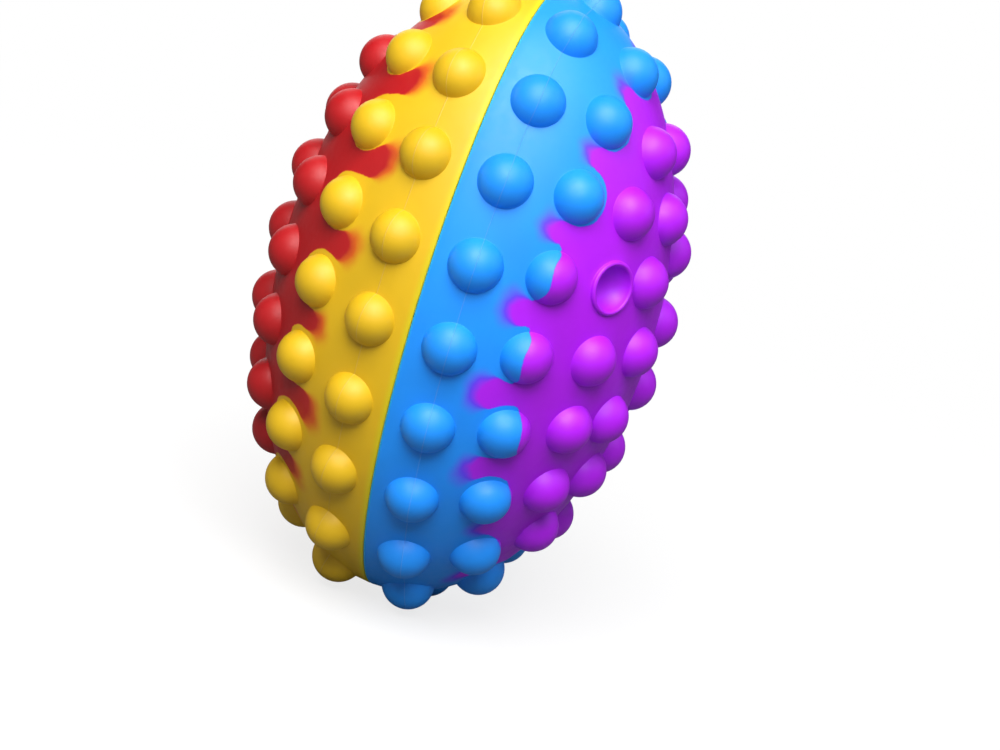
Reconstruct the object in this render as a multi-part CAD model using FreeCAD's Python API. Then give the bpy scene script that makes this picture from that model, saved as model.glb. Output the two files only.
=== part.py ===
import FreeCAD, Part
import math
import os

# Sensory ball: a hollow, squeezable silicone ball covered in rows of pop bubbles.
# Two moulded halves, each in two colours, are bonded along one seam. Every bubble's
# crown pops through its foot ring towards the middle of the ball, and back out again.
# Millimetres. The seam lies in the plane x = 0, the purple pole is at +X and the red
# pole at -X. The ball's long axis is Z, and the side that faces the viewer is -Y.
# The origin is the middle of the ball.

# Body
half_length = 96.0
waist_radius = 57.3
wall = 2.8

# Thickened rims along the seam, and the groove that the bonding silicone fills
rim_width = 2.2
rim_depth = 2.0
bond_half_width = 1.3
bond_thickness = 1.0
bond_cover = 0.9

# Rows of bubbles: how far each row lies from the seam along the skin
first_row = 12.5
row_pitch = 22.4
bubbles_in_rows = (19, 17, 14, 9)
row_start_shares = (0.84, 0.23, 0.42, 0.10)
moving_in_rows = {"east": (9, 8, 7, 5), "west": (9, 8, 5, 0)}

# One bubble
bubble_radius = 7.8
bubble_height = 6.0
bubble_wall = 1.2
crown_radius = 5.2
crown_clearance = 0.25

# The one bubble that is popped in
popped_row = 3
popped_number = 3
popped_depth = 5.0
popped_dish_radius = 6.7
popped_lip_radius = 0.9

# Colour zones: the polar colour runs in tongues between the second row's bubbles
colour_line = 24.5
colour_margin = 0.8

# Overrun of the cutting tools, and the steps in which the skin is walked
overrun = 4.0
climb_steps = 120
turn_steps = 360

colours = {"east": ("blue", "purple"), "west": ("yellow", "red")}
tongued_row = 2
last_band_row = 2


# The skin

def spheroid(inset):
    """The ball's egg-shaped body, taken in by the inset. Its two poles lie on the X axis."""
    unit = Part.makeSphere(1, FreeCAD.Vector(0, 0, 0), FreeCAD.Vector(1, 0, 0))
    stretch = FreeCAD.Matrix()
    stretch.scale(waist_radius - inset, waist_radius - inset, half_length - inset)
    return unit.transformGeometry(stretch)


def skin_point(climb, turn):
    """A point of the skin: climb is 0 at the seam, turn is 0 at the tip and a quarter at the front."""
    around = waist_radius * math.sin(turn)
    along = half_length * math.cos(turn)
    return FreeCAD.Vector(
        waist_radius * math.sin(climb), -around * math.cos(climb), along * math.cos(climb)
    )


def skin_normal(point):
    """The outward normal of the skin at a point."""
    normal = FreeCAD.Vector(
        point.x / waist_radius**2, point.y / waist_radius**2, point.z / half_length**2
    )
    return normal.normalize()


def climb_after(distance, turn):
    """The climb reached by walking a distance over the skin from the seam, straight towards the pole."""
    step = math.pi / 2 / climb_steps
    walked = 0.0
    before = skin_point(0, turn)
    for count in range(1, climb_steps + 1):
        after = skin_point(count * step, turn)
        stride = (after - before).Length
        if walked + stride >= distance:
            return (count - 1 + (distance - walked) / stride) * step
        walked += stride
        before = after
    return math.pi / 2


def row_sites(row):
    """The place and normal of each bubble in one row of the +X half.

    They are evenly spaced, from the upper tip down the front and up the back.
    """
    distance = first_row + (row - 1) * row_pitch
    turns = [2 * math.pi * count / turn_steps for count in range(turn_steps + 1)]
    points = [skin_point(climb_after(distance, turn), turn) for turn in turns]
    lengths = [0.0]
    for before, after in zip(points, points[1:]):
        lengths.append(lengths[-1] + (after - before).Length)
    spacing = lengths[-1] / bubbles_in_rows[row - 1]
    sites = []
    for number in range(bubbles_in_rows[row - 1]):
        goal = (number + row_start_shares[row - 1]) * spacing
        count = next(n for n in range(1, turn_steps + 1) if lengths[n] >= goal)
        share = (goal - lengths[count - 1]) / (lengths[count] - lengths[count - 1])
        turn = (count - 1 + share) * 2 * math.pi / turn_steps
        place = skin_point(climb_after(distance, turn), turn)
        sites.append((place, skin_normal(place)))
    return sites


# One bubble, built at the origin with its normal along +Z, then stood on the skin

bubble_sphere = (bubble_radius**2 + bubble_height**2) / (2 * bubble_height)
bubble_centre = bubble_height - bubble_sphere
bubble_inner = bubble_sphere - bubble_wall
throat_radius = math.sqrt(bubble_inner**2 - bubble_centre**2)
dish_sphere = (popped_dish_radius**2 + popped_depth**2) / (2 * popped_depth)
dish_centre = dish_sphere - popped_depth
root = wall / 2


def stand(shape, point, normal):
    placed = shape.copy()
    placed.Placement = FreeCAD.Placement(point, FreeCAD.Rotation(FreeCAD.Vector(0, 0, 1), normal))
    return placed


def post(radius, low, high):
    """A round post along Z."""
    return Part.makeCylinder(radius, high - low, FreeCAD.Vector(0, 0, low))


def ball(radius, height):
    return Part.makeSphere(radius, FreeCAD.Vector(0, 0, height))


def foot_ring():
    """The part of a bubble that stays: a ring that stands in the wall, with the crown's hole in its top."""
    above = post(bubble_sphere + overrun, -root, bubble_height + overrun)
    inside = ball(bubble_inner, bubble_centre).common(post(bubble_inner + overrun, 0, bubble_height))
    hole = post(crown_radius + crown_clearance, -root - overrun, bubble_height + overrun)
    ring = ball(bubble_sphere, bubble_centre).common(above)
    return ring.cut([inside, post(throat_radius, -root - overrun, 0), hole])


def crown():
    """The part of a bubble that pops: the top of the dome, cut free of its foot ring."""
    skin = ball(bubble_sphere, bubble_centre).cut(ball(bubble_inner, bubble_centre))
    return skin.common(post(crown_radius, 0, bubble_height + overrun))


def popped_crown_hole():
    """What is cut away so that the popped crown can pass."""
    return post(crown_radius + crown_clearance, -popped_depth - bubble_wall - overrun, overrun)


def popped_foot_ring():
    """The popped bubble's rolled lip and the side of its dish, with the crown's hole in the middle."""
    lip = Part.makeTorus(bubble_radius - popped_lip_radius, popped_lip_radius)
    around = post(dish_sphere + bubble_wall, -popped_depth - bubble_wall, 0)
    side = ball(dish_sphere + bubble_wall, dish_centre).common(around)
    return lip.fuse(side).cut([ball(dish_sphere, dish_centre), popped_crown_hole()])


def popped_crown():
    """The crown of the popped bubble, turned inside out at the bottom of its dish."""
    skin = ball(dish_sphere + bubble_wall, dish_centre).cut(ball(dish_sphere, dish_centre))
    return skin.common(post(crown_radius, -popped_depth - bubble_wall - overrun, 0))


# The halves. The one on the -X side is the mirror image of the +X one, from the same mould

def slab(start, end):
    """All that lies between two planes square to X."""
    reach = half_length + overrun
    return Part.makeBox(end - start, 2 * reach, 2 * reach, FreeCAD.Vector(start, -reach, -reach))


def half_skin():
    """The +X half's wall with its thickened rim, before the bubbles."""
    reach = waist_radius + overrun
    hollow = spheroid(wall).common(slab(rim_width, reach)).fuse(spheroid(wall + rim_depth))
    return spheroid(0).common(slab(0, reach)).cut(hollow).cut(bond())


def bond():
    """The ring of bonding silicone, set in a groove that the two rims share."""
    ring = spheroid(bond_cover).cut(spheroid(bond_cover + bond_thickness))
    return ring.common(slab(-bond_half_width, bond_half_width))


def scallop(point, normal):
    """A lobe of the band's colour round a bubble: round towards the pole, straight towards the seam."""
    radius = bubble_radius + colour_margin
    outward = FreeCAD.Vector(0, point.y, point.z).normalize()
    seamward = FreeCAD.Vector(-1, 0, 0)
    length = point.x - colour_line + overrun
    strip = Part.makeBox(length, 2 * radius, 4 * overrun, FreeCAD.Vector(0, -radius, -2 * overrun))
    facing = FreeCAD.Rotation(seamward, outward.cross(seamward), outward, "XZY")
    strip.Placement = FreeCAD.Placement(point, facing)
    return [stand(post(radius, -wall - overrun, overrun), point, normal), strip]


def band_tool(sites):
    """What lies on the seam's side of the colour line: a slab, and a lobe round each site."""
    lobes = [solid for site in sites for solid in scallop(*site)]
    return slab(0, colour_line).fuse(lobes)


def add_feet(skin, sites):
    """Open the skin at each site and set a bubble's foot ring in the opening."""
    opening = post(throat_radius, -wall - rim_depth, overrun)
    ring = foot_ring()
    opened = skin.cut([stand(opening, *site) for site in sites])
    return opened.fuse([stand(ring, *site) for site in sites])


def add_popped_foot(skin, site):
    """Sink the popped bubble's dish in the skin, with its crown's way through the wall."""
    dish = ball(dish_sphere, dish_centre)
    dished = skin.cut([stand(dish, *site), stand(popped_crown_hole(), *site)])
    return dished.fuse(stand(popped_foot_ring(), *site))


def across(shape):
    """The mirror image on the other side of the seam."""
    return shape.mirror(FreeCAD.Vector(0, 0, 0), FreeCAD.Vector(1, 0, 0))


def site_across(site):
    return tuple(FreeCAD.Vector(-vector.x, vector.y, vector.z) for vector in site)


def export(shape, name):
    shape.exportStep("parts/" + name + ".step")


def export_zone(shape, name):
    """Write a colour zone, which is one solid."""
    export(shape.Solids[0], name)


def export_shells(rows):
    """The four colour zones of the ball's wall and the bond between the halves."""
    popped_site = rows[popped_row][popped_number - 1]
    skin = half_skin()
    tool = band_tool(rows[tongued_row])
    band_sites = rows[1] + rows[2]
    cap_sites = [site for site in rows[3] + rows[4] if site is not popped_site]
    band = add_feet(skin.common(tool), band_sites)
    cap = add_feet(skin.cut(tool), cap_sites)
    export_zone(band, "blue_band")
    export_zone(across(band), "yellow_band")
    export_zone(add_popped_foot(cap, popped_site), "purple_cap")
    export_zone(across(add_feet(cap, [popped_site])), "red_cap")
    export_zone(bond(), "seam_bond")


def export_crowns(rows, half):
    """Each crown that moves as a piece of its own, and the rest in one group for each colour."""
    plain = crown()
    far = {colour: [] for colour in colours[half]}
    for row, sites in rows.items():
        colour = colours[half][row > last_band_row]
        for number, site in enumerate(sites, 1):
            popped = half == "east" and (row, number) == (popped_row, popped_number)
            place = site if half == "east" else site_across(site)
            if popped:
                export(stand(popped_crown(), *place), "popped_bubble")
            elif number <= moving_in_rows[half][row - 1]:
                export(stand(plain, *place), f"{colour}_bubble_{row}_{number}")
            else:
                far[colour].append(stand(plain, *place))
    for colour, solids in far.items():
        export(Part.makeCompound(solids), "far_" + colour + "_bubbles")


def main():
    os.makedirs("parts", exist_ok=True)
    rows = {row: row_sites(row) for row in range(1, len(bubbles_in_rows) + 1)}
    export_shells(rows)
    for half in colours:
        export_crowns(rows, half)


main()
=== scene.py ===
"""Looks of the sensory ball: two moulded silicone halves with rows of pop bubbles.

Forms are in millimetres until a mesh is made. Meshes, bumps, the floor, the lamps and the
camera's place are in metres. The seam lies in the plane x = 0. Every form is made for the
+X half, "east", and mirrored for the -X half, "west".
"""

import math

import bpy
import bmesh
import numpy as np
from mathutils import Matrix, Vector
from mathutils.geometry import delaunay_2d_cdt
from mathutils.kdtree import KDTree


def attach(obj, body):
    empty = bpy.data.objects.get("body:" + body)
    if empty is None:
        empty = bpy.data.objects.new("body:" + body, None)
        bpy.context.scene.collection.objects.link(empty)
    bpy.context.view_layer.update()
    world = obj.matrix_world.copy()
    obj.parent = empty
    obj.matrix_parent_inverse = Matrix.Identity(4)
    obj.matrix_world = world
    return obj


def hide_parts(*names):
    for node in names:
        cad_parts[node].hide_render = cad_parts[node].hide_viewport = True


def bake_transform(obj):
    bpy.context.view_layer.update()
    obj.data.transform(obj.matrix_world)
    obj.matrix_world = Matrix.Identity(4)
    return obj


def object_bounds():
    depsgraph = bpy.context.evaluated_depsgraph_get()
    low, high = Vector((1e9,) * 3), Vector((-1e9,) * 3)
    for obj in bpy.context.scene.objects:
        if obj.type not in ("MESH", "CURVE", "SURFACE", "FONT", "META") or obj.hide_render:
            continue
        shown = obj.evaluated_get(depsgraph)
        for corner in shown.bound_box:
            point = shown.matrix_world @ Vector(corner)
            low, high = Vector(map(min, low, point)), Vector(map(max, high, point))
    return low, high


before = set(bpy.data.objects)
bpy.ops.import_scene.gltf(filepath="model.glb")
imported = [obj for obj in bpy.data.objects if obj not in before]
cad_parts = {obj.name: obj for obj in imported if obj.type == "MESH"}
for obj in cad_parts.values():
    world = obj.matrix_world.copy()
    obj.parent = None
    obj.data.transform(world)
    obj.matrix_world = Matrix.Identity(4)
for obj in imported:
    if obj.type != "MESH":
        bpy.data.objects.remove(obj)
cad_low, cad_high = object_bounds()

# The ball, as the CAD source has it
HALF_LENGTH = 96.0
WAIST_RADIUS = 57.3
WALL = 2.8
RIM_WIDTH = 2.2
RIM_DEPTH = 2.0
BOND_HALF_WIDTH = 1.3
BOND_DEPTHS = (0.9, 1.9)
FIRST_ROW = 12.5
ROW_PITCH = 22.4
BUBBLES_IN_ROWS = (19, 17, 14, 9)
ROW_START_SHARES = (0.84, 0.23, 0.42, 0.10)
MOVING_IN_ROWS = {"east": (9, 8, 7, 5), "west": (9, 8, 5, 0)}
BUBBLE_RADIUS = 7.8
BUBBLE_HEIGHT = 6.0
BUBBLE_WALL = 1.2
POPPED = ("east", 3, 3)
POPPED_DEPTH = 5.0
POPPED_DISH_RADIUS = 6.7
CLIMB_STEPS = 120
TURN_STEPS = 360
COLOURS = {"east": ("blue", "purple"), "west": ("yellow", "red")}
LAST_BAND_ROW = 2

MM = 0.001
FULL_TURN = 2 * math.pi
MIRROR = {"east": (1, 1, 1), "west": (-1, 1, 1)}
SEMI_AXES = np.array([WAIST_RADIUS, WAIST_RADIUS, HALF_LENGTH])

# The balls that a dome and the popped dish are caps of, and their middles' heights
BUBBLE_SPHERE = (BUBBLE_RADIUS**2 + BUBBLE_HEIGHT**2) / (2 * BUBBLE_HEIGHT)
BUBBLE_CENTRE = BUBBLE_HEIGHT - BUBBLE_SPHERE
DISH_SPHERE = (POPPED_DISH_RADIUS**2 + POPPED_DEPTH**2) / (2 * POPPED_DEPTH)
DISH_CENTRE = DISH_SPHERE - POPPED_DEPTH

# How finely the forms are divided
SPOKES = 48
DOME_RINGS = 15
FAR_DOME_RINGS = 9
SKIN_PITCH = 2.3
FEWEST_IN_SKIN_ROW = 6
RIM_POINTS = 400
OUTLINE_STEPS = 1440
SEAM_WALK_STEPS = 48
LINE_SAMPLES = 3
LINE_CROWDING = 1.3
CLIMB_NUDGE = 1e-4
MERGE_DISTANCE = 1e-7

# How far the skin's free points stay from a bubble's foot and from the points of its edge
FREE_OF_FOOT = 0.6
FREE_OF_EDGE_POINTS = 1.0

# A bubble's fixed foot, up to where its moving dome begins
DOME_START = 0.3
FOOT_REACH = 8.4
FOOT_GAP = 0.2
THROAT = 6.55
CREASE_ROUND = 0.15
DOME_EDGE_SHARE = 0.02

# The popped bubble's rolled lip. Each pair is a radius and a height
POPPED_FOOT_REACH = 9.1
DISH_START = -0.25
LIP_TOE = 0.35
LIP_SIDE = (8.15, 0.35)
LIP_SLOPE_SHARE = 0.3
LIP_SHOULDER = (7.7, 0.8)
LIP_CREST_RADIUS = 7.1
LIP_TOP = 0.84
LIP_INNER_ROUND = 0.1
LIP_INNER_HEIGHT = 0.45
LIP_STRIP = 0.03
STRETCHES_TO_CREST = 3

# The seam's rounded edges, with their angles in degrees, and the rim inside
SEAM_GAP = 0.03
SEAM_ROUND = 0.55
SEAM_ROUND_ANGLES = (22, 44, 66, 90)
BOND_CLEARANCE = 0.02
INNER_RIM = 2.3
FREE_POINTS_START = 1.7 * INNER_RIM

# The polar colour runs in tongues between the second row's bubbles: how far from the
# seam each tongue ends, by the number of the bubble before it. A tongue keeps this length
# between these shares of the gap from bubble to bubble.
TONGUE_TIPS = {
    "east": (
        31.0, 30.0, 26.5, 24.0, 21.8, 24.0, 31.5, 26.0, 23.0,
        25.5, 22.5, 28.0, 24.5, 22.0, 26.5, 29.5, 27.0,
    ),
    "west": (
        26.0, 21.8, 21.0, 23.5, 26.5, 22.5, 25.0, 28.0, 24.0,
        22.0, 26.0, 23.0, 29.0, 25.0, 22.5, 27.5, 30.0,
    ),
}
TONGUE_SHARES = (0.3, 0.7)

# Round the bubbles are lobes of the band's colour, which narrow towards the seam
LOBE_RADIUS = 8.75
LOBE_SHIFT = 0.6
LOBE_NARROWING = 0.22
LOBE_NECK = -2.0
LOBE_DEPTH = 3 * BUBBLE_RADIUS

# Some bubbles are split: the polar colour covers them from so far to the polar side of
# their middle. The edge between the colours is a wave, with this height and these radians
# for each millimetre along the row and for each bubble's number.
SPLIT_BUBBLES = {
    "east": {4: -2.0, 5: -2.4, 6: 3.4, 7: 6.9, 8: 7.0, 11: 3.4, 14: 6.4, 16: 0.9},
    "west": {6: 6.8, 9: 4.2, 12: 1.4, 15: 6.2},
}
SPLIT_WAVE = 0.7
SPLIT_WAVE_RATE = 0.4
SPLIT_WAVE_SHIFT = 0.94

# A distance that is past the reach of every colour edge
FAR_OFF = 99.0


# The skin

def skin(climb, turn):
    """Points of the skin: climb is 0 at the seam, turn is 0 at the upper tip and a quarter
    at the front."""
    return np.stack(
        [
            WAIST_RADIUS * np.sin(climb) + 0 * turn,
            -WAIST_RADIUS * np.sin(turn) * np.cos(climb),
            HALF_LENGTH * np.cos(turn) * np.cos(climb),
        ],
        axis=-1,
    )


def unit(vectors):
    return vectors / np.linalg.norm(vectors, axis=-1, keepdims=True)


def skin_normal(points):
    return unit(points / SEMI_AXES**2)


def turn_of(points):
    return np.arctan2(-points[..., 1] / WAIST_RADIUS, points[..., 2] / HALF_LENGTH) % FULL_TURN


def walked_lengths(points):
    """How far each point of a line lies from its first, along the line."""
    strides = np.linalg.norm(np.diff(points, axis=0), axis=-1)
    return np.concatenate([[0.0], np.cumsum(strides)])


def climb_after(distance, turn):
    """The climb reached by walking a distance over the skin from the seam towards the pole."""
    climbs = np.arange(CLIMB_STEPS + 1) * math.pi / 2 / CLIMB_STEPS
    return np.interp(distance, walked_lengths(skin(climbs, turn)), climbs)


def seam_distance(points):
    """How far points of the skin lie from the seam, along the skin."""
    climb = np.arcsin(np.clip(points[:, 0] / WAIST_RADIUS, 0, 1))
    turn = turn_of(points)
    square = WAIST_RADIUS**2 * np.sin(turn) ** 2 + HALF_LENGTH**2 * np.cos(turn) ** 2
    steps = (np.arange(SEAM_WALK_STEPS) + 0.5) / SEAM_WALK_STEPS
    part = climb[:, None] * steps
    speed = np.sqrt(WAIST_RADIUS**2 * np.cos(part) ** 2 + square[:, None] * np.sin(part) ** 2)
    return speed.mean(axis=1) * climb


def onto_skin(points, direction):
    """Points moved against a direction until they lie on the skin."""
    a = (direction**2 / SEMI_AXES**2).sum()
    b = (points * direction / SEMI_AXES**2).sum(axis=-1)
    c = (points**2 / SEMI_AXES**2).sum(axis=-1) - 1
    drop = (b - np.sqrt(b * b - a * c)) / a
    return points - drop[..., None] * direction


# The bubbles' places

def row_sites(row):
    """Each bubble of one row of the +X half: place, normal, and the directions to the pole
    and along the row."""
    distance = FIRST_ROW + (row - 1) * ROW_PITCH
    turns = FULL_TURN * np.arange(TURN_STEPS + 1) / TURN_STEPS
    climbs = np.array([climb_after(distance, turn) for turn in turns])
    lengths = walked_lengths(skin(climbs, turns))
    spacing = lengths[-1] / BUBBLES_IN_ROWS[row - 1]
    sites = []
    for number in range(BUBBLES_IN_ROWS[row - 1]):
        goal = (number + ROW_START_SHARES[row - 1]) * spacing
        turn = np.interp(goal, lengths, turns)
        climb = climb_after(distance, turn)
        place = skin(climb, turn)
        normal = skin_normal(place)
        polar = unit(skin(climb + CLIMB_NUDGE, turn) - place)
        sites.append(
            {
                "row": row,
                "number": number + 1,
                "place": place,
                "normal": normal,
                "polar": polar,
                "along": np.cross(normal, polar),
            }
        )
    return sites


SITES = [site for row in range(1, len(BUBBLES_IN_ROWS) + 1) for site in row_sites(row)]
PLACES = np.array([site["place"] for site in SITES])
for site in SITES:
    to_next = np.sort(np.linalg.norm(PLACES - site["place"], axis=1))[1]
    site["reach"] = min(FOOT_REACH, to_next / 2 - FOOT_GAP)
    if (site["row"], site["number"]) == POPPED[1:]:
        site["reach"] = min(POPPED_FOOT_REACH, to_next - FOOT_REACH - FOOT_GAP)
TONGUED_SITES = [site for site in SITES if site["row"] == LAST_BAND_ROW]
ANGLES = FULL_TURN * np.arange(SPOKES) / SPOKES


def is_popped(site, half):
    return (half, site["row"], site["number"]) == POPPED


def spokes(site):
    return np.cos(ANGLES)[:, None] * site["polar"] + np.sin(ANGLES)[:, None] * site["along"]


def ring(site, radius, height):
    """A ring of points round a bubble's axis."""
    return site["place"] + radius * spokes(site) + height * site["normal"]


def foot_edge(site):
    """The ring on the skin where a bubble's foot begins."""
    return onto_skin(ring(site, site["reach"], 0), site["normal"])


def heights(site, points):
    return (points - site["place"]) @ site["normal"]


def smooth_line(controls):
    """Rings along the curve that a row of control rings draws, without its first ring."""
    controls = np.array(controls)
    middles = (controls[1:-2] + controls[2:-1]) / 2
    starts = [controls[0], *middles]
    ends = [*middles, controls[-1]]
    shares = 1 - (1 - (np.arange(LINE_SAMPLES) + 1) / LINE_SAMPLES) ** LINE_CROWDING
    return [
        (1 - share) ** 2 * start + 2 * share * (1 - share) * control + share**2 * end
        for start, control, end in zip(starts, controls[1:-1], ends)
        for share in shares
    ]


def section_radius(sphere, centre, height):
    """The radius of a ball where a plane at some height cuts it."""
    return math.sqrt(sphere**2 - (height - centre) ** 2)


def popped_lip(site):
    """The rings of the popped bubble's rolled lip: those of its fixed outer side, and those of
    its inner side, which go down into the dish. The two meet on its top."""
    toe = onto_skin(ring(site, site["reach"] - LIP_TOE, 0), site["normal"])
    slope = heights(site, toe)[:, None] * site["normal"]
    shoulder = ring(site, *LIP_SHOULDER)
    crest = ring(site, LIP_CREST_RADIUS, LIP_TOP)
    dish_edge = section_radius(DISH_SPHERE, DISH_CENTRE, DISH_START)
    rings = smooth_line(
        [
            foot_edge(site),
            toe,
            ring(site, *LIP_SIDE) + slope * LIP_SLOPE_SHARE,
            shoulder,
            crest,
            ring(site, dish_edge + LIP_INNER_ROUND, LIP_INNER_HEIGHT),
            ring(site, dish_edge, DISH_START),
        ]
    )
    inner_side = STRETCHES_TO_CREST * LINE_SAMPLES
    top = rings[inner_side - 1]
    # a narrow strip on either side of the top lets both sides shade alike where they meet
    step = LIP_STRIP * unit(crest - shoulder)
    return [*rings[: inner_side - 1], top - step, top], [top, top + step, *rings[inner_side:]]


def foot_rings(site, popped):
    """The rings of a bubble's foot, from the skin's edge round the fillet to the moving dome."""
    if popped:
        return popped_lip(site)[0]
    foot = foot_edge(site)
    top_radius = section_radius(BUBBLE_SPHERE, BUBBLE_CENTRE, DOME_START)
    top = ring(site, top_radius, DOME_START)
    lean = math.asin(top_radius / BUBBLE_SPHERE)
    down = math.cos(lean) * spokes(site) - math.sin(lean) * site["normal"]
    skin_level = heights(site, onto_skin(ring(site, BUBBLE_RADIUS, 0), site["normal"]))
    crease = top + ((DOME_START - skin_level) / math.sin(lean))[:, None] * down
    crease = onto_skin(crease, site["normal"])
    before = crease + CREASE_ROUND * unit(foot - crease)
    after = crease + CREASE_ROUND * unit(top - crease)
    return smooth_line([foot, before, crease, after, top])


def cap_rings(site, sphere, centre, start, facing, shares):
    """Rings on a ball's cap, from its edge at the start height towards its middle, which
    faces outwards (1) or inwards (-1)."""
    widest = math.acos(facing * (start - centre) / sphere)
    leans = [widest * (1 - share) for share in shares]
    return [
        ring(site, sphere * math.sin(lean), centre + facing * sphere * math.cos(lean))
        for lean in leans
    ]


def dome_rings(site, popped, count):
    """The rings of a moving dome or dish, from its foot to just short of its middle, and
    the middle itself."""
    shares = DOME_EDGE_SHARE + (1 - DOME_EDGE_SHARE) * np.arange(1, count) / count
    if popped:
        rings = popped_lip(site)[1]
        rings += cap_rings(site, DISH_SPHERE, DISH_CENTRE, DISH_START, -1, shares)
        return rings, site["place"] - POPPED_DEPTH * site["normal"]
    shares = [0.0, DOME_EDGE_SHARE, *shares]
    rings = cap_rings(site, BUBBLE_SPHERE, BUBBLE_CENTRE, DOME_START, 1, shares)
    return rings, site["place"] + BUBBLE_HEIGHT * site["normal"]


# Colour: how far each point lies from the edges of the colour zones

def tongue_tips(points, half):
    """Where the tongue nearest to each point ends."""
    turns = [turn_of(site["place"]) for site in TONGUED_SITES]
    gaps = np.diff([*turns, turns[0] + FULL_TURN])
    knots, tips = [], []
    for turn, gap, tip in zip(turns, gaps, TONGUE_TIPS[half]):
        for share in TONGUE_SHARES:
            knots.append(turn + share * gap)
            tips.append(tip)
    return np.interp(turn_of(points), knots, tips, period=FULL_TURN)


def clear_of_lobes(points, half):
    """How far each point lies outside the lobes of the band's colour. Inside it is below 0."""
    clear = np.full(len(points), FAR_OFF)
    for site in TONGUED_SITES:
        offset = points - site["place"]
        to_pole = offset @ site["polar"]
        along_row = offset @ site["along"]
        from_middle = np.hypot(np.maximum(to_pole, 0), along_row - LOBE_SHIFT)
        narrowing = LOBE_NARROWING * np.maximum(LOBE_NECK - to_pole, 0)
        split = SPLIT_BUBBLES[half].get(site["number"], FAR_OFF)
        wave = np.sin(SPLIT_WAVE_RATE * along_row + SPLIT_WAVE_SHIFT * site["number"])
        past_split = to_pole - (split + SPLIT_WAVE * wave)
        outside = np.maximum(from_middle - LOBE_RADIUS + narrowing, past_split)
        near = np.abs(offset @ site["normal"]) < LOBE_DEPTH
        clear = np.where(near, np.minimum(clear, outside), clear)
    return clear


def zone_values(points, half, distance=None):
    """For each point: how far it lies past the tongues' tips, outside the lobes, from the seam
    and from the parting line. The distance from the seam is worked out if it isn't given."""
    if distance is None:
        distance = seam_distance(points)
    return {
        "past_tips": distance - tongue_tips(points, half),
        "clear_of_lobes": clear_of_lobes(points, half),
        "from_seam": distance,
        "from_parting": distance - FIRST_ROW,
    }


# Meshes

def put_in_scene(name, data):
    thing = bpy.data.objects.new(name, data)
    bpy.context.scene.collection.objects.link(thing)
    return thing


def sharpen(mesh, rings):
    """Keep the edges along some rings of point numbers sharp."""
    ring_of = np.full(len(mesh.vertices), -1)
    for number, members in enumerate(rings):
        ring_of[members] = number
    ends = np.empty(len(mesh.edges) * 2, int)
    mesh.edges.foreach_get("vertices", ends)
    first, second = ring_of[ends.reshape(-1, 2)].T
    sharp = mesh.attributes.new("sharp_edge", "BOOLEAN", "EDGE")
    sharp.data.foreach_set("value", (first == second) & (first >= 0))


class Form:
    """The points, faces and colour values of one mesh, gathered bit by bit. Edges along its
    crisp rings stay sharp."""

    def __init__(self, half):
        self.half = half
        self.points = []
        self.faces = []
        self.values = []
        self.crisp = []
        self.total = 0

    def add(self, points, values=None):
        """Add points and return their numbers."""
        self.points.append(points)
        self.values.append(values or zone_values(points, self.half))
        self.total += len(points)
        return list(range(self.total - len(points), self.total))

    def join(self, first, second):
        """Put four-sided faces between two rings of point numbers."""
        self.faces += [
            (first[n - 1], first[n], second[n], second[n - 1]) for n in range(len(first))
        ]

    def add_ring(self, last, points, values=None):
        """Add a ring of points, join it to the last ring and return its numbers."""
        here = self.add(points, values)
        self.join(last, here)
        return here

    def make(self, name, material):
        """A piece with this form as its mesh, on the form's own half."""
        points = np.concatenate(self.points) * MIRROR[self.half] * MM
        mesh = bpy.data.meshes.new(name)
        mesh.from_pydata(points.tolist(), [], [tuple(map(int, face)) for face in self.faces])
        for key in self.values[0]:
            numbers = np.concatenate([values[key] for values in self.values])
            attribute = mesh.attributes.new(key, "FLOAT", "POINT")
            attribute.data.foreach_set("value", numbers.astype(np.float32))
        if self.half == "west":
            mesh.flip_normals()
        mesh.shade_smooth()
        sharpen(mesh, self.crisp)
        mesh.materials.append(material)
        return put_in_scene(name, mesh)


# The halves

def free_points(feet):
    """Points spread evenly over the half's skin, clear of the bubbles' feet and of the rim."""
    tree = KDTree(len(SITES) * SPOKES)
    for number, point in enumerate(np.concatenate(feet)):
        tree.insert(point, number)
    tree.balance()

    def is_free(point):
        gaps = np.linalg.norm(PLACES - point, axis=1)
        nearest = int(np.argmin(gaps))
        if gaps[nearest] < SITES[nearest]["reach"] + FREE_OF_FOOT:
            return False
        return tree.find(Vector(point))[2] > FREE_OF_EDGE_POINTS

    turns = np.linspace(0, FULL_TURN, OUTLINE_STEPS + 1)
    lengths = walked_lengths(skin(0 * turns, turns))
    climb_pitch = SKIN_PITCH / ((WAIST_RADIUS + HALF_LENGTH) / 2)
    found = []
    climb = FREE_POINTS_START / WAIST_RADIUS
    while climb < math.pi / 2 - climb_pitch / 2:
        count = max(FEWEST_IN_SKIN_ROW, round(lengths[-1] * math.cos(climb) / SKIN_PITCH))
        stagger = 0.5 * (len(found) % 2)
        goals = (np.arange(count) + stagger) / count * lengths[-1]
        found.append(skin(climb, np.interp(goals, lengths, turns)))
        climb += climb_pitch
    pole = np.array([[WAIST_RADIUS, 0.0, 0.0]])
    return np.array([point for point in np.concatenate([*found, pole]) if is_free(point)])


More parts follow.
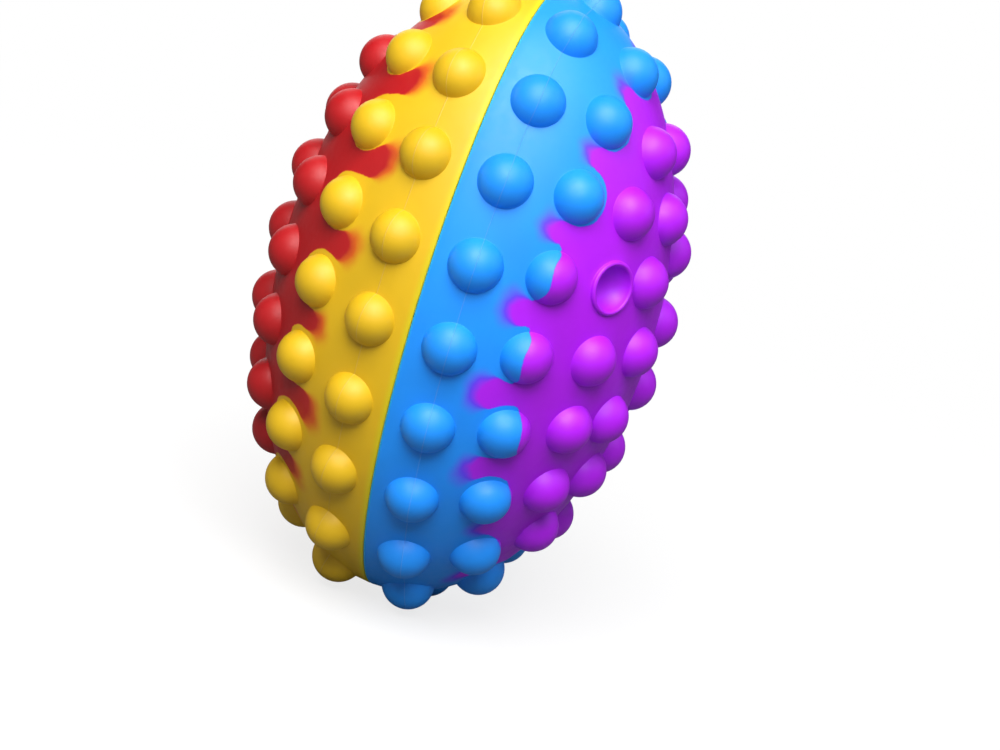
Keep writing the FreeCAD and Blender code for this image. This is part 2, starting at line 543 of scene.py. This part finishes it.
def skin_triangles(points, rings):
    """Triangles between the skin's points, which leave the bubbles' feet open. The first of
    the rings is the rim's, and the others are the feet's."""
    laid_flat = points[:, 1:] / (1 + points[:, :1] / WAIST_RADIUS)
    edges = [(members[n - 1], members[n]) for members in rings for n in range(len(members))]
    _, _, faces, origins, _, _ = delaunay_2d_cdt(
        [Vector(point) for point in laid_flat], edges, [], 0, MERGE_DISTANCE
    )
    foot_of = np.full(len(points), -1)
    for number, members in enumerate(rings[1:]):
        foot_of[members] = number
    triangles = []
    for face in faces:
        corners = [origins[corner][0] for corner in face]
        feet = foot_of[corners]
        if feet[0] < 0 or (feet != feet[0]).any():
            triangles.append(tuple(corners))
    return triangles


def add_foot(form, site, edge, inner_edge):
    """A bubble's foot, from its edge on the skin to its throat and the inside of the wall."""
    popped = is_popped(site, form.half)
    last = edge
    for points in foot_rings(site, popped):
        distance = seam_distance(onto_skin(points, site["normal"]))
        last = form.add_ring(last, points, zone_values(points, form.half, distance))
    form.crisp.append(last)
    throat = ring(site, THROAT, 0)
    if not popped:
        last = form.add_ring(last, throat)
    deep = onto_skin(throat, site["normal"])
    last = form.add_ring(last, deep - WALL * skin_normal(deep))
    form.join(last, inner_edge)


def rim_line():
    """The rim's section, from the skin over the seam's rounded edge and round the bond's groove
    to the inside: how far across from the seam and how deep under the skin."""
    groove = BOND_HALF_WIDTH + BOND_CLEARANCE
    high, low = BOND_DEPTHS[0] - BOND_CLEARANCE, BOND_DEPTHS[1] + BOND_CLEARANCE
    rounding = [
        (SEAM_GAP + SEAM_ROUND * (1 - math.sin(angle)), SEAM_ROUND * (1 - math.cos(angle)))
        for angle in np.radians(SEAM_ROUND_ANGLES)
    ]
    return [
        *rounding,
        (SEAM_GAP, high),
        (groove, high),
        (groove, low),
        (SEAM_GAP, low),
        (SEAM_GAP, WALL + RIM_DEPTH),
        (RIM_WIDTH, WALL + RIM_DEPTH),
    ]


def add_rim(form, turns, edge, inner_edge):
    """The half's edge at the seam."""
    last = edge
    for across, depth in rim_line():
        on = skin(np.full(RIM_POINTS, math.asin(across / WAIST_RADIUS)), turns)
        inward = unit(skin_normal(on) * (0, 1, 1))
        values = zone_values(on, form.half)
        values["from_seam"] = np.full(RIM_POINTS, across - depth)
        last = form.add_ring(last, on - depth * inward, values)
    form.join(last, inner_edge)


def make_half(half, material, name):
    """One moulded half: its skin, the bubbles' feet, the inside of its wall and its rim."""
    turns = FULL_TURN * np.arange(RIM_POINTS) / RIM_POINTS
    rim = skin(np.full(RIM_POINTS, SEAM_ROUND / WAIST_RADIUS), turns)
    feet = [foot_edge(site) for site in SITES]
    points = np.concatenate([rim, *feet, free_points(feet)])
    rings = [list(range(RIM_POINTS))]
    for first in range(RIM_POINTS, RIM_POINTS + len(SITES) * SPOKES, SPOKES):
        rings.append(list(range(first, first + SPOKES)))
    triangles = skin_triangles(points, rings)

    inner = points - WALL * skin_normal(points)
    inner_rim = skin(np.full(RIM_POINTS, INNER_RIM / WAIST_RADIUS), turns)
    inner[:RIM_POINTS] = inner_rim - WALL * skin_normal(inner_rim)
    inner_rings = [[len(points) + number for number in members] for members in rings]

    form = Form(half)
    values = zone_values(points, half)
    form.add(points, values)
    form.add(inner, values)
    form.faces += triangles
    form.faces += [tuple(len(points) + n for n in reversed(corners)) for corners in triangles]
    for site, edge, inner_edge in zip(SITES, rings[1:], inner_rings[1:]):
        add_foot(form, site, edge, inner_edge)
    add_rim(form, turns, rings[0], inner_rings[0])

    piece = form.make(name, material)
    shape = bmesh.new()
    shape.from_mesh(piece.data)
    bmesh.ops.recalc_face_normals(shape, faces=shape.faces)
    shape.to_mesh(piece.data)
    shape.free()
    return piece


# The domes

def add_dome(form, site, count):
    """A moving dome or dish, with a sharp edge where it meets its foot."""
    rings, middle = dome_rings(site, is_popped(site, form.half), count)
    points = np.concatenate([*rings, middle[None]])
    distance = seam_distance(onto_skin(points, site["normal"]))
    values = zone_values(points, form.half, distance)
    if site["row"] != 1:
        values["from_parting"] = np.full(len(points), FAR_OFF)
    *around, top = form.add(points, values)
    numbers = np.reshape(around, (-1, SPOKES))
    for first, second in zip(numbers, numbers[1:]):
        form.join(first, second)
    last = numbers[-1]
    form.faces += [(last[n - 1], last[n], top) for n in range(SPOKES)]
    form.crisp.append(numbers[0])


def thicken(piece):
    """Give a dome the thickness of its wall, inwards."""
    solid = piece.modifiers.new("wall", "SOLIDIFY")
    solid.thickness = BUBBLE_WALL * MM
    solid.offset = -1
    return piece


def make_moving_dome(half, material, colour, site):
    """A moving dome, named after its node, whose own part it replaces."""
    popped = is_popped(site, half)
    node = "popped_bubble" if popped else f"{colour}_bubble_{site['row']}_{site['number']}"
    form = Form(half)
    add_dome(form, site, DOME_RINGS)
    piece = form.make(node + "_dome", material)
    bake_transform(thicken(piece))
    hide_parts(node)


def make_far_domes(half, material, colour, sites):
    """The domes of one colour on the side away from the photo, in one piece."""
    form = Form(half)
    for site in sites:
        add_dome(form, site, FAR_DOME_RINGS)
    node = f"far_{colour}_bubbles"
    piece = form.make(f"far_{colour}_domes", material)
    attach(thicken(piece), "ball_wall")
    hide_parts(node)


def make_domes(half, material):
    far = {colour: [] for colour in COLOURS[half]}
    for site in SITES:
        colour = COLOURS[half][site["row"] > LAST_BAND_ROW]
        if site["number"] > MOVING_IN_ROWS[half][site["row"] - 1]:
            far[colour].append(site)
        else:
            make_moving_dome(half, material, colour, site)
    for colour, sites in far.items():
        make_far_domes(half, material, colour, sites)


# Materials

def srgb(code):
    """A colour written as six hexadecimal digits, as shaders take it."""
    parts = [int(code[n : n + 2], 16) / 255 for n in (0, 2, 4)]
    return (*[((p + 0.055) / 1.055) ** 2.4 if p > 0.04045 else p / 12.92 for p in parts], 1.0)


def grey(level):
    return (level, level, level, 1.0)


BLUE = srgb("0C90FA")
INDIGO = srgb("5C3CF4")
PURPLE = srgb("B006EC")
TURQUOISE = srgb("14B4D8")
YELLOW = srgb("E0B408")
ORANGE = srgb("D45A08")
RED = srgb("B4040E")
LIME = srgb("D8CC00")
BOND_GREEN = srgb("C9D8CF")
BOND_WHITE = srgb("E4ECE6")
WHITE = grey(1.0)

# The colours' edges, in millimetres: how far noise moves them, and how soft they are
SIDE_WAVE = 1.2
FINE_WAVE = 0.4
TIP_WAVE = 3.0
TIP_ROUND = 7.5
TIP_SOFTNESS = 4.0
SIDE_SOFTNESS = 0.25
SHARP_PAST_TIPS = 7.0

# The tint at the seam, and the painted highlight on the parting line: millimetres, and shares of
# each
SEAM_TINT_FROM = 0.2
SEAM_TINT_SHARE = 0.7
PARTING_HALF_WIDTHS = (0.05, 0.2)
PARTING_HIGHLIGHT_SHARE = 0.05

# Each noise: its scale, in waves to a metre, and its detail
SLOW_NOISE = (150.0, 1.5)
FINE_NOISE = (900.0, 2.0)
MOTTLING_NOISE = (45.0, 3.0)
ROUGHNESS_NOISE = (420.0, 3.0)
GRAIN_NOISE = (2600.0, 2.0)
BOND_COLOUR_NOISE = (160.0, 3.0)
BOND_ROUGHNESS_NOISE = (700.0, 2.0)
BOND_GRAIN_NOISE = (900.0, 3.0)

# The surface: what noise from the first to the second of NOISE_ENDS turns into
NOISE_ENDS = (0.3, 0.7)
MOTTLING = (0.94, 1.05)
ROUGHNESS = (0.5, 0.6)
BOND_ROUGHNESS = (0.35, 0.5)
SILICONE_IOR = 1.45
SILICONE_GLOSS = 0.7

# Each bump: its height in metres and its strength
GRAIN_BUMP = (0.00002, 0.5)
PARTING_BUMP = (0.0001, 0.8)
BOND_GRAIN_BUMP = (0.00005, 0.5)


class Nodes:
    """Short calls for building the nodes of a material or of the world."""

    def __init__(self, owner):
        owner.use_nodes = True
        self.owner = owner
        self.tree = owner.node_tree
        self.shader = self.tree.nodes.get("Principled BSDF")

    def put(self, socket, value):
        if isinstance(value, bpy.types.NodeSocket):
            self.tree.links.new(value, socket)
        else:
            socket.default_value = value

    def attribute(self, name):
        node = self.tree.nodes.new("ShaderNodeAttribute")
        node.attribute_name = name
        return node.outputs["Fac"]

    def place(self):
        return self.tree.nodes.new("ShaderNodeTexCoord").outputs["Object"]

    def noise(self, scale, detail):
        node = self.tree.nodes.new("ShaderNodeTexNoise")
        self.put(node.inputs["Vector"], self.place())
        self.put(node.inputs["Scale"], scale)
        self.put(node.inputs["Detail"], detail)
        return node.outputs["Fac"]

    def noise_between(self, ends, scale, detail):
        """Noise that runs evenly between two values."""
        return self.ramp(self.noise(scale, detail), *NOISE_ENDS, *ends, "LINEAR")

    def wave(self, scale, detail):
        """Noise about zero."""
        return self.math("SUBTRACT", self.noise(scale, detail), 0.5)

    def math(self, kind, first, second=0.0):
        node = self.tree.nodes.new("ShaderNodeMath")
        node.operation = kind
        self.put(node.inputs[0], first)
        self.put(node.inputs[1], second)
        return node.outputs[0]

    def short_of(self, goal, value):
        """How far a value falls short of a goal, or 0 past it."""
        return self.math("MAXIMUM", self.math("SUBTRACT", goal, value), 0.0)

    def length_of(self, first, second):
        squares = [self.math("MULTIPLY", side, side) for side in (first, second)]
        return self.math("SQRT", self.math("ADD", *squares))

    def ramp(self, value, low, high, low_out=0.0, high_out=1.0, kind="SMOOTHSTEP"):
        node = self.tree.nodes.new("ShaderNodeMapRange")
        node.interpolation_type = kind
        for socket, number in zip(node.inputs, (value, low, high, low_out, high_out)):
            self.put(socket, number)
        return node.outputs[0]

    def mix(self, share, first, second, kind="MIX"):
        """A mix of two colours, whose sockets come after those for numbers and vectors."""
        node = self.tree.nodes.new("ShaderNodeMix")
        node.data_type = "RGBA"
        node.blend_type = kind
        self.put(node.inputs[0], share)
        self.put(node.inputs[6], first)
        self.put(node.inputs[7], second)
        return node.outputs[2]

    def mix_shaders(self, share, first, second):
        node = self.tree.nodes.new("ShaderNodeMixShader")
        for socket, value in zip(node.inputs, (share, first, second)):
            self.put(socket, value)
        return node.outputs[0]

    def as_grey(self, level):
        node = self.tree.nodes.new("ShaderNodeCombineColor")
        for socket in node.inputs[:3]:
            self.put(socket, level)
        return node.outputs[0]

    def bump(self, height, distance, strength, normal=None):
        node = self.tree.nodes.new("ShaderNodeBump")
        self.put(node.inputs["Height"], height)
        self.put(node.inputs["Distance"], distance)
        self.put(node.inputs["Strength"], strength)
        if normal is not None:
            self.put(node.inputs["Normal"], normal)
        return node.outputs[0]


def polar_share(n):
    """How much of the polar colour shows: 0 in the band and its lobes, 1 past the tongues'
    tips. The tips are round and soft, and the tongues' sides are sharp."""
    slow = n.wave(*SLOW_NOISE)
    fine = n.math("MULTIPLY", n.wave(*FINE_NOISE), FINE_WAVE)
    wavy = n.math("ADD", n.attribute("clear_of_lobes"), n.math("MULTIPLY", slow, SIDE_WAVE))
    clear = n.math("ADD", wavy, fine)
    past = n.math("ADD", n.attribute("past_tips"), n.math("MULTIPLY", slow, TIP_WAVE))
    corner = n.length_of(n.short_of(TIP_ROUND, clear), n.short_of(TIP_ROUND, past))
    inside = n.math("SUBTRACT", TIP_ROUND, corner)
    softness = n.ramp(past, 0.0, SHARP_PAST_TIPS, TIP_SOFTNESS, SIDE_SOFTNESS)
    return n.ramp(n.math("DIVIDE", inside, softness), -1.0, 1.0)


def two_colour_silicone(name, band, between, cap, edge, edge_width):
    """Silicone of two colours that run into each other at the tongues' tips."""
    n = Nodes(bpy.data.materials.new(name))
    share = polar_share(n)
    colour = n.mix(n.ramp(share, 0.0, 0.5, kind="LINEAR"), band, between)
    colour = n.mix(n.ramp(share, 0.5, 1.0, kind="LINEAR"), colour, cap)
    # mottling, and the thin band of tinted colour at the seam
    mottle = n.as_grey(n.noise_between(MOTTLING, *MOTTLING_NOISE))
    colour = n.mix(1.0, colour, mottle, "MULTIPLY")
    tint = n.ramp(n.attribute("from_seam"), SEAM_TINT_FROM, edge_width, SEAM_TINT_SHARE, 0.0)
    colour = n.mix(tint, colour, edge)
    # the fine line that the mould's parting leaves: a raised ridge, and a faint whitening along
    # it that is a painted highlight
    off_line = n.math("ABSOLUTE", n.attribute("from_parting"))
    ridge = n.ramp(off_line, *PARTING_HALF_WIDTHS, 1.0, 0.0)
    colour = n.mix(n.math("MULTIPLY", ridge, PARTING_HIGHLIGHT_SHARE), colour, WHITE)
    n.put(n.shader.inputs["Base Color"], colour)
    n.put(n.shader.inputs["Roughness"], n.noise_between(ROUGHNESS, *ROUGHNESS_NOISE))
    grain = n.bump(n.noise(*GRAIN_NOISE), *GRAIN_BUMP)
    n.put(n.shader.inputs["Normal"], n.bump(ridge, *PARTING_BUMP, grain))
    n.shader.inputs["IOR"].default_value = SILICONE_IOR
    n.shader.inputs["Specular IOR Level"].default_value = SILICONE_GLOSS
    return n.owner


def bond_silicone():
    n = Nodes(bpy.data.materials.new("bond_silicone_look"))
    colour = n.mix(n.noise(*BOND_COLOUR_NOISE), BOND_GREEN, BOND_WHITE)
    rough = n.noise_between(BOND_ROUGHNESS, *BOND_ROUGHNESS_NOISE)
    grain = n.bump(n.noise(*BOND_GRAIN_NOISE), *BOND_GRAIN_BUMP)
    n.put(n.shader.inputs["Base Color"], colour)
    n.put(n.shader.inputs["Roughness"], rough)
    n.put(n.shader.inputs["Normal"], grain)
    return n.owner


blue_purple = two_colour_silicone(
    "blue_purple_silicone", BLUE, INDIGO, PURPLE, TURQUOISE, edge_width=1.0
)
yellow_red = two_colour_silicone(
    "yellow_red_silicone", YELLOW, ORANGE, RED, LIME, edge_width=2.6
)

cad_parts["seam_bond"].data.materials.clear()
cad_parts["seam_bond"].data.materials.append(bond_silicone())

for half, material, name, nodes in (
    ("east", blue_purple, "blue_purple_half", ("blue_band", "purple_cap")),
    ("west", yellow_red, "yellow_red_half", ("yellow_band", "red_cap")),
):
    piece = make_half(half, material, name)
    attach(piece, "ball_wall")
    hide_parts(*nodes)
    make_domes(half, material)


# Floor, light and camera

FLOOR_HALF_WIDTH = 6.0
FLOOR_ROUGHNESS = 0.9
FLOOR_GLOSS = 0.1

# The camera sees a pale floor, and the ball gets the light of a darker one
FLOOR_SEEN = grey(0.9)
FLOOR_UNSEEN = grey(0.18)

# Between these distances the floor goes from this share of white to all white
FADE_REACHES = (0.15, 0.6)
FADE_SHARES = (0.78, 1.0)

SKY_LIGHT = 0.05

# The photo's right, its up and the way towards its camera
RIGHT = Vector((0.917, 0.288, 0.277))
UP = Vector((-0.336, 0.180, 0.924))
TOWARDS = Vector((0.216, -0.940, 0.262))

# The camera. Its lens and sensor are in millimetres, and its shift in widths of the picture
CAMERA_DISTANCE = 0.9
CAMERA_SENSOR = 36.0
CAMERA_LENS = 108.0
CAMERA_SHIFT = (0.0318, -0.0839)

# Each lamp: shares of right, up and towards in its direction, distance, size and power
LAMPS = {
    "key": ((0.12, 0.62, 0.77), 1.3, 1.1, 33.0),
    "right": ((1.0, 0.35, 0.1), 1.6, 1.2, 4.5),
    "left": ((-1.0, 0.3, 0.1), 1.6, 1.2, 2.0),
    "back": ((0.0, 0.5, -0.8), 1.6, 1.4, 13.0),
}


def pale_floor():
    """A pale, dull floor that turns into the white background away from the ball."""
    n = Nodes(bpy.data.materials.new("pale_floor"))
    n.shader.inputs["Roughness"].default_value = FLOOR_ROUGHNESS
    n.shader.inputs["Specular IOR Level"].default_value = FLOOR_GLOSS
    seen = n.tree.nodes.new("ShaderNodeLightPath").outputs["Is Camera Ray"]
    n.put(n.shader.inputs["Base Color"], n.mix(seen, FLOOR_UNSEEN, FLOOR_SEEN))
    glow = n.tree.nodes.new("ShaderNodeEmission")
    glow.inputs["Strength"].default_value = 1.0
    reach = n.tree.nodes.new("ShaderNodeVectorMath")
    reach.operation = "LENGTH"
    n.put(reach.inputs[0], n.place())
    white = n.ramp(reach.outputs["Value"], *FADE_REACHES, *FADE_SHARES)
    fade = n.math("MULTIPLY", seen, white)
    surface = n.mix_shaders(fade, n.shader.outputs[0], glow.outputs[0])
    n.put(n.tree.nodes["Material Output"].inputs["Surface"], surface)
    return n.owner


def add_floor():
    shape = bmesh.new()
    bmesh.ops.create_grid(shape, x_segments=1, y_segments=1, size=FLOOR_HALF_WIDTH)
    mesh = bpy.data.meshes.new("floor")
    shape.to_mesh(mesh)
    shape.free()
    mesh.materials.append(pale_floor())
    floor = put_in_scene("floor", mesh)
    floor.location = (0, 0, cad_low.z)


def add_world():
    """A faint even light, and a white background where the camera looks past the ball."""
    world = bpy.data.worlds.new("studio")
    bpy.context.scene.world = world
    n = Nodes(world)
    soft = n.tree.nodes["Background"]
    soft.inputs["Color"].default_value = WHITE
    soft.inputs["Strength"].default_value = SKY_LIGHT
    white = n.tree.nodes.new("ShaderNodeBackground")
    white.inputs["Color"].default_value = WHITE
    white.inputs["Strength"].default_value = 1.0
    path = n.tree.nodes.new("ShaderNodeLightPath").outputs
    seen = n.math("MAXIMUM", path["Is Camera Ray"], path["Is Transmission Ray"])
    surface = n.mix_shaders(seen, soft.outputs[0], white.outputs[0])
    n.put(n.tree.nodes["World Output"].inputs["Surface"], surface)


def add_lamp(name, shares, distance, size, power):
    """A soft square lamp that looks at the ball's middle."""
    light = bpy.data.lights.new(name, "AREA")
    light.size = size
    light.energy = power
    right, up, towards = shares
    direction = UP * up + TOWARDS * towards + RIGHT * right
    lamp = put_in_scene(name, light)
    lamp.location = direction.normalized() * distance
    lamp.rotation_mode = "QUATERNION"
    lamp.rotation_quaternion = direction.to_track_quat("Z", "Y")


def add_camera():
    """The photo's camera. It looks at the ball's middle, and its shift frames the picture."""
    data = bpy.data.cameras.new("camera")
    data.sensor_width = CAMERA_SENSOR
    data.lens = CAMERA_LENS
    data.shift_x, data.shift_y = CAMERA_SHIFT
    right = RIGHT.normalized()
    towards = (TOWARDS - TOWARDS.dot(right) * right).normalized()
    up = towards.cross(right)
    turn = Matrix((right, up, towards)).transposed()
    camera = put_in_scene("camera", data)
    camera.matrix_world = Matrix.Translation(towards * CAMERA_DISTANCE) @ turn.to_4x4()
    bpy.context.scene.camera = camera


add_floor()
add_world()
for lamp_name, settings in LAMPS.items():
    add_lamp(lamp_name, *settings)
add_camera()
bpy.context.scene.view_settings.view_transform = "Standard"
